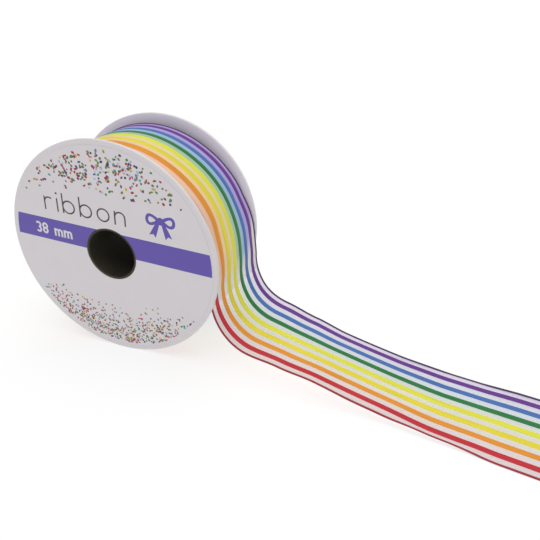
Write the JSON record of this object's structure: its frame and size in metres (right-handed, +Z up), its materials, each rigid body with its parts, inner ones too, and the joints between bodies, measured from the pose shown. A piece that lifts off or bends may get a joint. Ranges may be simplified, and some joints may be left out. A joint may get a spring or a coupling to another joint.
{
  "type": "ribbon spool",
  "caption": "Spool of sheer ribbon with rainbow satin stripes, wound between two printed board flanges on a plastic core, with a free tail running off one side.",
  "frame": {"origin": "middle of the spindle bore, halfway between the two outer label faces", "axes": "+Y along the bore from the front (printed) flange to the rear one, +X to the side where the free ribbon runs off, +Z up; the floor is at z = -44.5 mm"},
  "size_m": [0.2185, 0.0617, 0.089],
  "materials": {
    "core_plastic": "matte",
    "tape": "satin",
    "ribbon": "satin",
    "front_edge_thread": "satin",
    "rear_edge_thread": "satin",
    "flange_board": "matte",
    "label_paper": "satin",
    "liner_paper": "matte"
  },
  "bodies": {
    "free_ribbon": {"ribbon_last_turn": "ribbon", "ribbon_free_end": "ribbon", "ribbon_front_wired_edge": "front_edge_thread", "ribbon_rear_wired_edge": "rear_edge_thread"},
    "spool": {"ribbon_pack": "ribbon", "core_tape": "tape", "hub_front_half": "core_plastic", "hub_rear_half": "core_plastic", "front_flange_board": "flange_board", "rear_flange_board": "flange_board", "front_face_label": "label_paper", "rear_face_label": "label_paper", "front_inner_liner": "liner_paper", "rear_inner_liner": "liner_paper"}
  },
  "joints": [
    {"name": "spool_spin", "type": "hinge", "parent": "free_ribbon", "child": "spool", "pos_m": [0, 0, 0], "axis": [0, 1, 0], "continuous": true}
  ]
}
